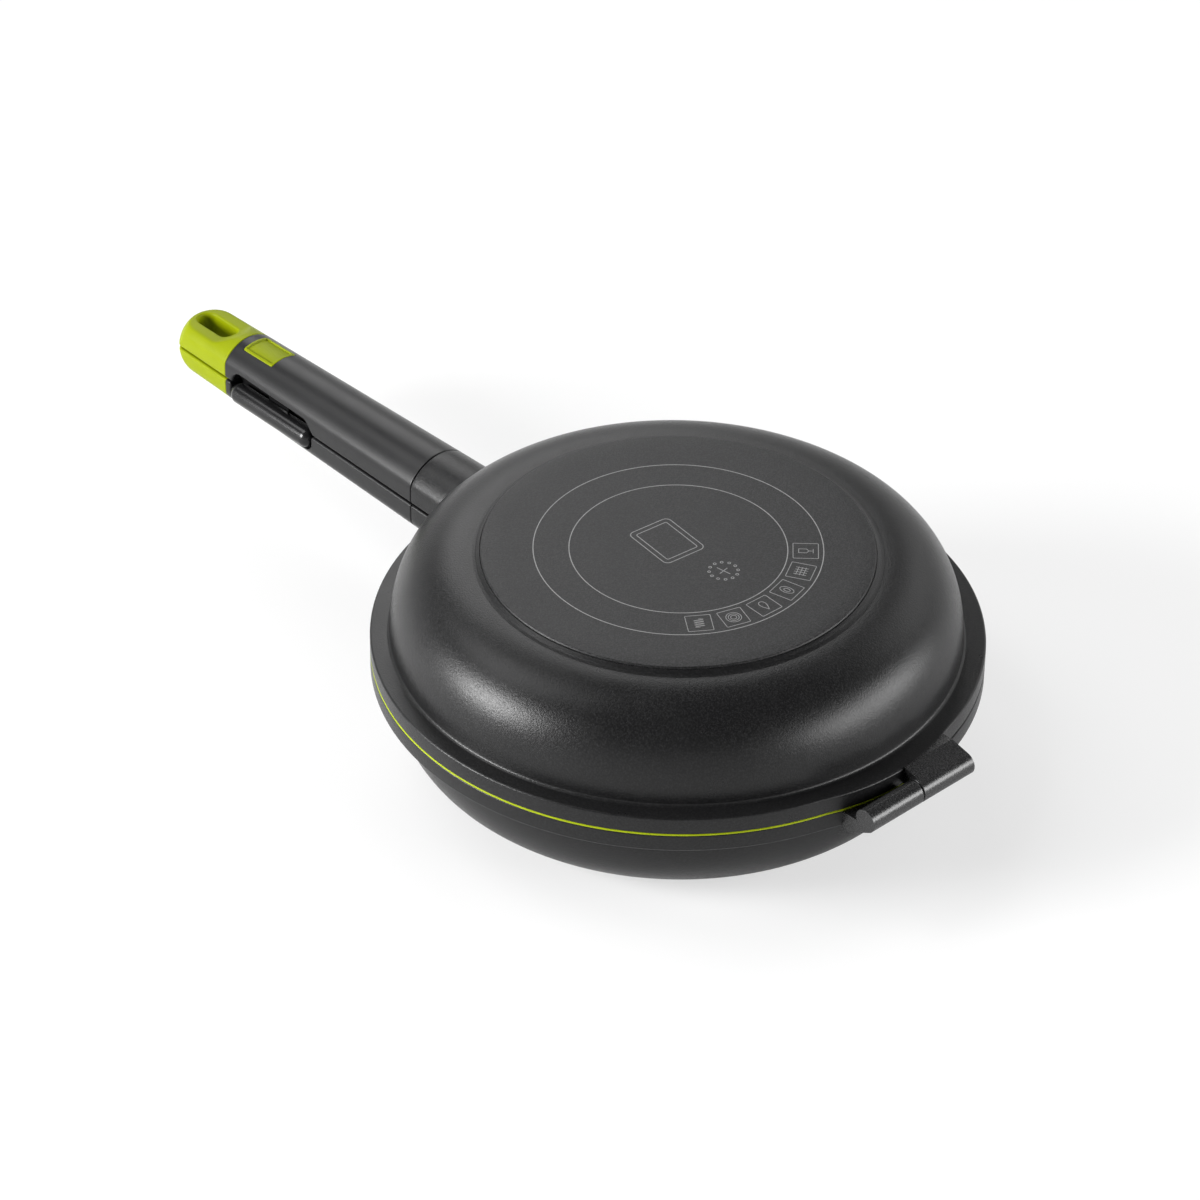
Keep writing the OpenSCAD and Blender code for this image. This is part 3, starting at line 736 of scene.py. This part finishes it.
grip = {
    "seamX": -154.9, "edge": 0.5, "insideCap": 2.6, "spigotX": -318.4, "spigotCeiling": 9.5,
}
slot = {
    "middle": -310.4, "length": 23.8, "width": 9.5, "lining": 1.8, "play": 0.1,
    "topRound": 1.2, "lowRound": 0.8, "reach": 80.0,
}
thumb = {"flat": 12.1, "rampStart": -300.0, "rampSlope": 0.511, "soft": 0.9}


def ceilingAt(x):                                 # flat for the thumb, then a soft ramp
    rise = (x - thumb["rampStart"]) * thumb["rampSlope"]
    return thumb["flat"] + (rise + np.sqrt(rise ** 2 + thumb["soft"] ** 2)) / 2


def slotOutline(grow, steps=18):                  # two half rounds and the lines between them
    reach, wide = (slot["length"] - slot["width"]) / 2, slot["width"] / 2 + grow
    return np.concatenate([arc(slot["middle"] + reach, 0, wide, -90, 90, steps),
                           arc(slot["middle"] - reach, 0, wide, 90, 270, steps)])


# The form that cuts the hanging slot: its outline opens out in a quarter round below the
# thumb flat and again above the parting face, so that both edges of the slot are rounded.
def slotCutter():
    outline = slotOutline(0.0)
    normal, top = outwards(outline), ceilingAt(outline[:, 0])
    t = np.radians(np.linspace(0, slot["reach"], 7))
    low, high = slot["lowRound"], slot["topRound"]
    rows = [(low * (1 - np.cos(t[-1])), np.full(len(top), -2.0))]
    rows += [(low * (1 - np.cos(a)), np.full(len(top), handle["gap"] + low * (1 - np.sin(a))))
             for a in t[::-1]]
    rows += [(high * (1 - np.cos(a)), top - high * (1 - np.sin(a))) for a in t]
    rows.append((high * (1 - np.cos(t[-1])), top + 6))
    return closedTube(np.stack([np.column_stack([outline + normal * off, z])
                                for off, z in rows]))


def spigotRows(x, inset, gap, ceiling):           # outlines of the part inside the end cap
    return handleRows(np.asarray(x, float), inset, gap, 0.0, ceiling)


# Half a grip: outlines along the handle with rounded ends, then the narrower part inside the
# end cap. The outlines are shared by both halves.
def gripShell():
    back, inset = endRound(grip["edge"])
    x = np.concatenate([grip["seamX"] - back,
                        np.linspace(grip["seamX"] - 1, handle["capX"] + 1, 110),
                        handle["capX"] + back[::-1]])
    rows = handleRows(x, np.concatenate([inset, np.zeros(110), inset[::-1]]))
    inner = spigotRows([handle["capX"], grip["spigotX"]], grip["insideCap"], handle["gap"],
                       grip["spigotCeiling"])
    return closedTube(np.concatenate([rows, inner]))


pocket = {
    "left": -283.2, "right": -222.9, "height": 6.6, "innerY": -8.64, "leftRound": 6.0,
    "runOut": 8.4, "lip": 1.25,
}
seat = {
    "left": -284.3, "right": -225.6, "y": -12.9, "d": -4.5, "radius": 5.3, "endRadius": 5.6,
    "lip": 0.85, "mouth": 1.4,
}
lever = {
    "left": -283.2, "right": -226.7, "radius": 4.9, "hookLength": 14.0, "hookInner": -8.0,
    "hookOuter": -10.0, "hookTop": 4.7, "hookEdge": 0.35, "hookPlay": 0.4,
}
leverMiddle = (lever["left"] + lever["right"]) / 2
rooms = {                                         # room in the grips: y and z ranges
    "upperHook": ((-9.6, -4.9), (-3.0, 6.0)), "lowerHook": ((-12.0, -7.6), (-4.9, 3.0)),
    "leaf": ((-13.1, 2.2), (-10.15, 3.0)), "leafHalfLength": 4.2,
    "tang": ((-7.6, 7.6), (-1.0, 8.3)), "tangStart": -150.0,
}


def flare(depth, size):                           # how far a rounded lip opens at a depth
    t = np.clip(depth + size, 0, size * 0.985)
    return size - np.sqrt(size ** 2 - t ** 2)


# The form that cuts the finger scoop into the side flat of the upper grip. Its side view is
# round at the cap and eases out at the neck; towards the flat it opens in a quarter round.
def scoopCutter():
    p = pocket
    t = np.radians(np.linspace(0, 90, 19))
    left = np.stack([p["left"] + p["leftRound"] * (1 - np.cos(t)), p["height"] * np.sin(t)], -1)
    ease = np.linspace(0, 1, 25)
    right = np.stack([p["right"] - p["runOut"] * (1 - ease),
                      p["height"] * (0.5 + 0.5 * np.cos(np.pi * ease))], -1)
    top = np.stack([np.linspace(left[-1, 0], right[0, 0], 26)[1:-1],
                    np.full(24, p["height"])], -1)
    outline = np.concatenate([[[p["right"], -1.0], [p["left"], -1.0]], left, top, right])
    normal = outwards(outline)
    normal[:2] = [[0, 0], [-1, 0]]
    flat, size = sideFlat(outline[:, 0]), p["lip"]
    depths = [-size, *(-size + size * np.sin(np.radians(np.linspace(8, 80, 10)))), 4.0]
    rows = [np.column_stack([outline[:, 0], np.full(len(outline), p["innerY"]),
                             outline[:, 1]])]
    for depth in depths:
        spot = outline + normal * flare(depth, size)
        rows.append(np.column_stack([spot[:, 0], -flat - depth, spot[:, 1]]))
    return closedTube(np.stack(rows))


# The form that cuts the seat of the round bar into the lower grip: seen from the side a slot
# with elliptical ends whose depth follows the bar's circle, rounded where it meets the skin.
def seatCutter():
    s = seat
    inner, flat = s["y"] + s["radius"], -sideFlat(leverMiddle)
    y = np.concatenate([np.linspace(inner - 0.01, flat + 1.3, 14),
                        np.linspace(flat + 1.2, flat - 0.6, 26),
                        np.linspace(flat - 0.9, s["y"] - s["radius"] + 0.01, 7)])[:, None]
    deep = np.sqrt(np.maximum(s["radius"] ** 2 - (y - s["y"]) ** 2, 1e-4))
    b = np.radians(np.linspace(0, 90, 15))[None]
    m = np.radians(np.linspace(90, 0, 7))[None]
    mouth = s["mouth"]
    endX = np.concatenate([-mouth + 0 * m[:, :1], -mouth * (1 - np.cos(m)),
                           s["endRadius"] * (1 - np.cos(b))], 1) + 0 * y
    endD = np.concatenate([3.0 + 0 * m[:, :1], -0.6 - mouth + mouth * np.sin(m)], 1) + 0 * y
    endD = np.concatenate([endD, s["d"] - deep * np.sin(b)], 1)
    tiltX = np.concatenate([-np.ones((1, 8)), -np.cos(b)], 1) + 0 * y
    tiltD = np.concatenate([np.zeros((1, 8)) + 0 * y, -np.sin(b) * s["endRadius"] / np.maximum(
        deep, 0.5)], 1)
    size = np.hypot(tiltX, tiltD)
    x = np.concatenate([s["left"] + endX, s["right"] - endX[:, ::-1]], 1)
    d = np.concatenate([endD, endD[:, ::-1]], 1)
    nx = np.concatenate([tiltX / size, (-tiltX / size)[:, ::-1]], 1)
    nd = np.concatenate([tiltD / size, (tiltD / size)[:, ::-1]], 1)
    off = flare(-y - sideFlat(x), s["lip"])
    return closedTube(np.stack([x + nx * off, y + 0 * x, d + nd * off], -1))


badge = {
    "middle": -272.8, "length": 20.4, "width": 14.6, "play": 0.05, "depth": 1.2,
    "proud": 0.3, "field": -0.5, "border": 1.3, "edge": 0.35, "corner": 1.0,
}


def crown(x, y, grow):                            # height of the handle's round skin
    return np.sqrt((handleRadius(x) + grow) ** 2 - y ** 2)


def badgeRecess():                                # a block whose floor follows the handle
    x = badge["middle"] + badge["length"] / 2 * np.array([[-1], [1]])
    y = np.linspace(-badge["width"] / 2, badge["width"] / 2, 19)[None]
    floor = np.stack([x + 0 * y, y + 0 * x, crown(x, y, -badge["depth"])], -1)
    roof = floor[:, ::-1].copy()
    roof[..., 2] = 30.0
    return closedTube(np.concatenate([floor, roof], 1))


# Grid lines from one edge of the inlay to the other, close together at its rim and border.
def badgeLine(half, count):
    steps = np.array([0, 0.04, 0.12, 0.22, 0.35, 0.7, *(badge["border"] + np.array(
        [-0.3, -0.15, 0, 0.15, 0.3]))])
    return np.concatenate([steps - half, np.linspace(
        -half + steps[-1], half - steps[-1], count)[1:-1], (half - steps)[::-1]])


# The inlay: a fine grid over the rectangle, lifted to the handle's skin. Its height over that
# skin depends on the distance from the edge: a rounded edge, a raised border, a plain field.
def badgeShell():
    b = badge
    halfX, halfY = b["length"] / 2 - b["play"], b["width"] / 2 - b["play"]
    x, y = np.meshgrid(badgeLine(halfX, 16), badgeLine(halfY, 14), indexing="ij")
    near = np.minimum(halfX - np.abs(x), halfY - np.abs(y))
    inX, inY = np.abs(x) - (halfX - b["corner"]), np.abs(y) - (halfY - b["corner"])
    inCorner = b["corner"] - np.hypot(np.maximum(inX, 0), np.maximum(inY, 0))
    near = np.where((inX > 0) & (inY > 0), inCorner, near)
    pull = np.where(near < 0, b["corner"] / np.maximum(b["corner"] - near, 1e-6), 1.0)
    x = np.sign(x) * np.where(near < 0, halfX - b["corner"] + inX * pull, np.abs(x))
    y = np.sign(y) * np.where(near < 0, halfY - b["corner"] + inY * pull, np.abs(y))
    near = np.maximum(near, 0)
    edge = b["edge"]
    drop = edge - np.sqrt(edge ** 2 - np.clip(edge - near, 0, edge) ** 2)
    share = np.clip((near - b["border"] + 0.15) / 0.3, 0, 1)
    share = share * share * (3 - 2 * share)
    x += b["middle"]
    top = np.stack([x, y, crown(x, y, b["proud"]) - drop
                    - share * (b["proud"] - b["field"])], -1)
    under = np.stack([x, y, crown(x, y, b["play"] - b["depth"])], -1)
    rows, cols = x.shape
    faces = gridFaces(rows, cols).tolist()
    faces += [[i + rows * cols for i in f] for f in faces]
    rim = np.concatenate([np.arange(cols), np.arange(1, rows) * cols + cols - 1,
                          (rows - 1) * cols + np.arange(cols - 2, -1, -1),
                          np.arange(rows - 2, 0, -1) * cols])
    after = np.roll(rim, -1)
    faces += np.stack([rim, after, after + rows * cols, rim + rows * cols], -1).tolist()
    return np.concatenate([top.reshape(-1, 3), under.reshape(-1, 3)]), faces


# Half an end cap: outlines along the handle's taper, then over a dome that is a little squarer
# than an ellipse; the ceiling makes the thumb flat. The lip is rounded along the outline's own
# normals, so that it runs round the tip as well.
cap = {"domeX": -314.0, "domeLength": 14.5, "power": 2 / 2.3, "lip": 1.0, "edge": 0.5}


def capShell():
    back, inset = endRound(cap["edge"])
    body = np.linspace(handle["capX"] - 0.9, cap["domeX"], 40)[:-1]
    radius = handleRadius(cap["domeX"])
    last = np.degrees(np.arccos((0.7003 / radius) ** (1 / cap["power"])))
    t = np.radians(np.concatenate([np.linspace(0, 79, 26), np.linspace(80, last, 16)]))
    x = np.concatenate([handle["capX"] - back, body,
                        cap["domeX"] - cap["domeLength"] * np.sin(t) ** cap["power"]])
    zero = np.zeros(len(body) + len(t))
    inset = np.concatenate([inset, zero])
    bar = np.concatenate([handleRadius(x[:-len(t)]), radius * np.cos(t) ** cap["power"]])
    grid = halfRows(x, bar - inset, sideFlat(x) - inset, ceilingAt(x), handle["gap"],
                    cap["lip"])
    across = np.cross(np.gradient(grid, axis=0), np.gradient(grid, axis=1))[..., :2]
    size = np.linalg.norm(across, axis=-1, keepdims=True)
    across = across / np.maximum(size, 1e-9) * np.sign(across[30, 0, 1] * grid[30, 0, 1])
    across[-2:] = [-1.0, 0.0]
    across[:7, :, 0] = 0
    grid[..., :2] -= across * lipBack(grid[..., 2] - handle["gap"], cap["lip"])[..., None]
    return closedTube(grid)


def makeCap(half):                                # the room for the grip, then the hanging slot
    points, faces = capShell()
    item = newObject(half + "Cap", meshFrom(half + "Cap", [(place(points, half), faces)]))
    inner = closedTube(spigotRows([handle["capX"] + 1, grip["spigotX"] - 0.1], 2.5, -1.0, 9.6))
    hollow = newObject("hollow", meshFrom("hollow", [(place(inner[0], half), inner[1])]))
    cutAway(hollow, [prism(slotOutline(slot["lining"]), -3, 20, "Z")], half)
    cutWith(item, hollow)
    cutAway(item, [slotCutter()], half)
    return ready(item, half, [lime], [half + "_end_cap"], 38, True)


def room(name, low, high):                        # a block between two x, over a named range
    (y1, y2), (z1, z2) = rooms[name]
    return block((low, y1, z1), (high, y2, z2))


# A grip with what is cut out of it. The scoop, the seat and the rooms for the hook and the leaf
# are given as they lie in place, also those below the parting plane.
def makeGrip(half):
    points, faces = gripShell()
    item = newObject(half + "Grip", meshFrom(half + "Grip", [(place(points, half), faces)]))
    cutAway(item, [room("tang", tang["end"] - tang["play"], rooms["tangStart"]),
                   prism(slotOutline(slot["lining"] + slot["play"]), -3, 20, "Z")], half)
    wide, leaf = lever["hookLength"] / 2 + lever["hookPlay"], rooms["leafHalfLength"]
    low, high = leverMiddle - wide, leverMiddle + wide
    if half == "upper":
        cutAway(item, [scoopCutter(), room("upperHook", low, high), badgeRecess()])
    else:
        cutAway(item, [seatCutter(), room("lowerHook", low, high),
                       room("leaf", leverMiddle - leaf, leverMiddle + leaf)])
    return ready(item, half, [gripBlack], [half + "_grip"], 38, True)


def makeBadge():
    points, faces = badgeShell()
    item = newObject("badgeInlay", meshFrom("badgeInlay", [(place(points, "upper"), faces)]))
    return ready(item, "upper", [lime], ["badge"], 50)


# The lever: a half circle and a line turned about the bar's own axis, and a plate that stands
# up beside the catch.
def makeLever():
    radius = lever["radius"]
    line = np.concatenate([arc(lever["right"] - radius, 0, radius, 0, 90, 24),
                           arc(lever["left"] + radius, 0, radius, 90, 180, 24)])
    points, faces = turned(line[:, ::-1], 72)
    points = points[:, [2, 0, 1]] + [0, seat["y"], seat["d"]]
    half = lever["hookLength"] / 2
    hook = block((leverMiddle - half, lever["hookOuter"], seat["d"]),
                 (leverMiddle + half, lever["hookInner"], lever["hookTop"]))
    bar = newObject("leverBar", meshFrom("leverBar", [(place(points, "upper"), faces)]))
    ready(bar, "latch", [glossBlack], ["latch_lever"], 40)
    plate = newObject("leverHook", meshFrom("leverHook", [(place(hook[0], "upper"), hook[1])]))
    softEdges(plate, lever["hookEdge"], 40, 3)
    ready(plate, "latch", [glossBlack], ["latch_lever"], 40)


def cadCopy(node, body, material, edges=0.0, angle=30):   # small turned parts
    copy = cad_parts[node].data.copy()
    copy.materials.clear()
    tidyMesh(copy, 4e-6)
    item = newObject(node + "Piece", copy)
    if edges:
        softEdges(item, edges, 40)
    return ready(item, body, [material], [node], angle)


for half in ("upper", "lower"):
    makeGrip(half)
    makeCap(half)
    cadCopy(half + "_tang_screws", half, steel, 0.12)
    cadCopy(half + "_grip_inserts", half, brass)
makeBadge()
makeLever()
for node in ("hinge_pin", "latch_pin", "latch_leaf", "latch_leaf_screw"):
    cadCopy(node, "lower", steel, 0.08)
cadCopy("latch_catch", "upper", steel, 0.1)
print("handles made")

cameraLook = {
    "lens": 155.54, "azimuth": -43.197, "elevation": 36.337, "roll": 0.728,
    "distance": 2.2372, "aim": (-0.030504, -0.016732, 0.065361),
}


# The camera stands off its aim by azimuth, elevation and distance, and is rolled a little.
def makeCamera(look):
    az, el = np.radians(look["azimuth"]), np.radians(look["elevation"])
    back = Vector((np.cos(el) * np.cos(az), np.cos(el) * np.sin(az), np.sin(el)))
    right = Vector((0, 0, 1)).cross(back).normalized()
    right = Matrix.Rotation(np.radians(look["roll"]), 3, back) @ right
    up = back.cross(right)
    spot = Vector(look["aim"]) + back * look["distance"]
    data = bpy.data.cameras.new("camera")
    data.lens, data.sensor_width, data.clip_end = look["lens"], 36.0, 20.0
    item = newObject("camera", data)
    item.matrix_world = Matrix.Translation(spot) @ Matrix(
        (right, up, back)).transposed().to_4x4()
    scene.camera = item


# Each lamp: name, direction and height above the horizon in degrees, width, height, watts.
studio = {
    "floorSize": 6.0, "floorColour": 0.90, "floorGlow": 0.57, "floorMirror": 0.10,
    "whiteFrom": 0.30, "whiteTo": 0.90, "world": 0.05, "ceiling": 0.06, "horizon": (0.03, 0.60),
    "aim": (-0.03, 0, 0.05), "distance": 2.0,
    "lamps": [("frontLeft", -118, 20, 0.85, 0.80, 68.0), ("right", 34, 16, 1.9, 0.8, 46.0),
              ("highLeft", -152, 55, 1.0, 1.0, 12.0), ("back", 92, 34, 1.2, 0.8, 5.0),
              ("backLeft", 148, 35, 1.0, 0.8, 9.0)],
}


# The share of rays that see the pale background: those of the camera, and those in mirror
# reflections and through clear pieces.
def backgroundRays(m, seen=1.0, mirrored=1.0):
    camera, glossy, through = [m.node("ShaderNodeLightPath", out=n) for n in (
        "Is Camera Ray", "Is Glossy Ray", "Is Transmission Ray")]
    return camera.maths("MAXIMUM", camera * seen, glossy.maths("MAXIMUM", glossy, through)
                        * mirrored)


# A pale floor that keeps the soft shadow, and turns fully white beyond it.
def makeFloor():
    size = studio["floorSize"]
    mesh = bpy.data.meshes.new("floor")
    mesh.from_pydata([(-size, -size, 0), (size, -size, 0), (size, size, 0),
                      (-size, size, 0)], [], [(0, 1, 2, 3)])
    item = newObject("floor", mesh)
    m = Bench("floorPale")
    pale = studio["floorColour"]
    lit = m.node("ShaderNodeBsdfDiffuse", {}, {"Color": (pale, pale, pale, 1)}, "BSDF")
    glow = m.node("ShaderNodeEmission", {}, {"Color": (1, 1, 1, 1), "Strength": 1.0})
    away = m.node("ShaderNodeVectorMath", {"operation": "LENGTH"}, {0: m.here()}, 1)
    seen = m.node("ShaderNodeMapRange", {"interpolation_type": "SMOOTHSTEP"},
                  {0: away, 1: studio["whiteFrom"], 2: studio["whiteTo"],
                   3: studio["floorGlow"], 4: 1.0})
    mesh.materials.append(m.finish(m.node("ShaderNodeMixShader", {}, {
        0: backgroundRays(m, seen, studio["floorMirror"]), 1: lit, 2: glow})))


# A white background. Mirror reflections see it pale at the horizon and dim overhead, like a
# studio's ceiling.
def makeWorld():
    scene.world = bpy.data.worlds.new("studio")
    m = Bench("studio", scene.world)
    white, (low, high) = (1, 1, 1, 1), studio["horizon"]
    up = m.node("ShaderNodeSeparateXYZ", {},
                {0: m.node("ShaderNodeTexCoord", out="Generated")}, 2)
    pale = m.node("ShaderNodeMapRange", {"interpolation_type": "SMOOTHSTEP"},
                  {0: up, 1: low, 2: high, 3: 1.0, 4: studio["ceiling"]})
    lit = m.node("ShaderNodeBackground", {}, {"Color": white, "Strength": studio["world"]})
    camera = m.node("ShaderNodeLightPath", out="Is Camera Ray")
    seen = m.node("ShaderNodeBackground", {}, {
        "Color": white, "Strength": camera.maths("MAXIMUM", camera, pale)})
    m.finish(m.node("ShaderNodeMixShader", {}, {0: backgroundRays(m), 1: lit, 2: seen}))


def makeLamp(name, azimuth, height, width, tall, power):
    az, el = np.radians([azimuth, height])
    aim = Vector(studio["aim"])
    away = Vector((np.cos(el) * np.cos(az), np.cos(el) * np.sin(az), np.sin(el)))
    data = bpy.data.lights.new(name, "AREA")
    data.shape, data.size, data.size_y, data.energy = "RECTANGLE", width, tall, power
    item = newObject(name, data)
    item.location = aim + away * studio["distance"]
    item.rotation_euler = away.to_track_quat("Z", "Y").to_euler()


makeCamera(cameraLook)
makeFloor()
makeWorld()
for lamp in studio["lamps"]:
    makeLamp(*lamp)
scene.view_settings.view_transform = "Standard"
print("studio made")
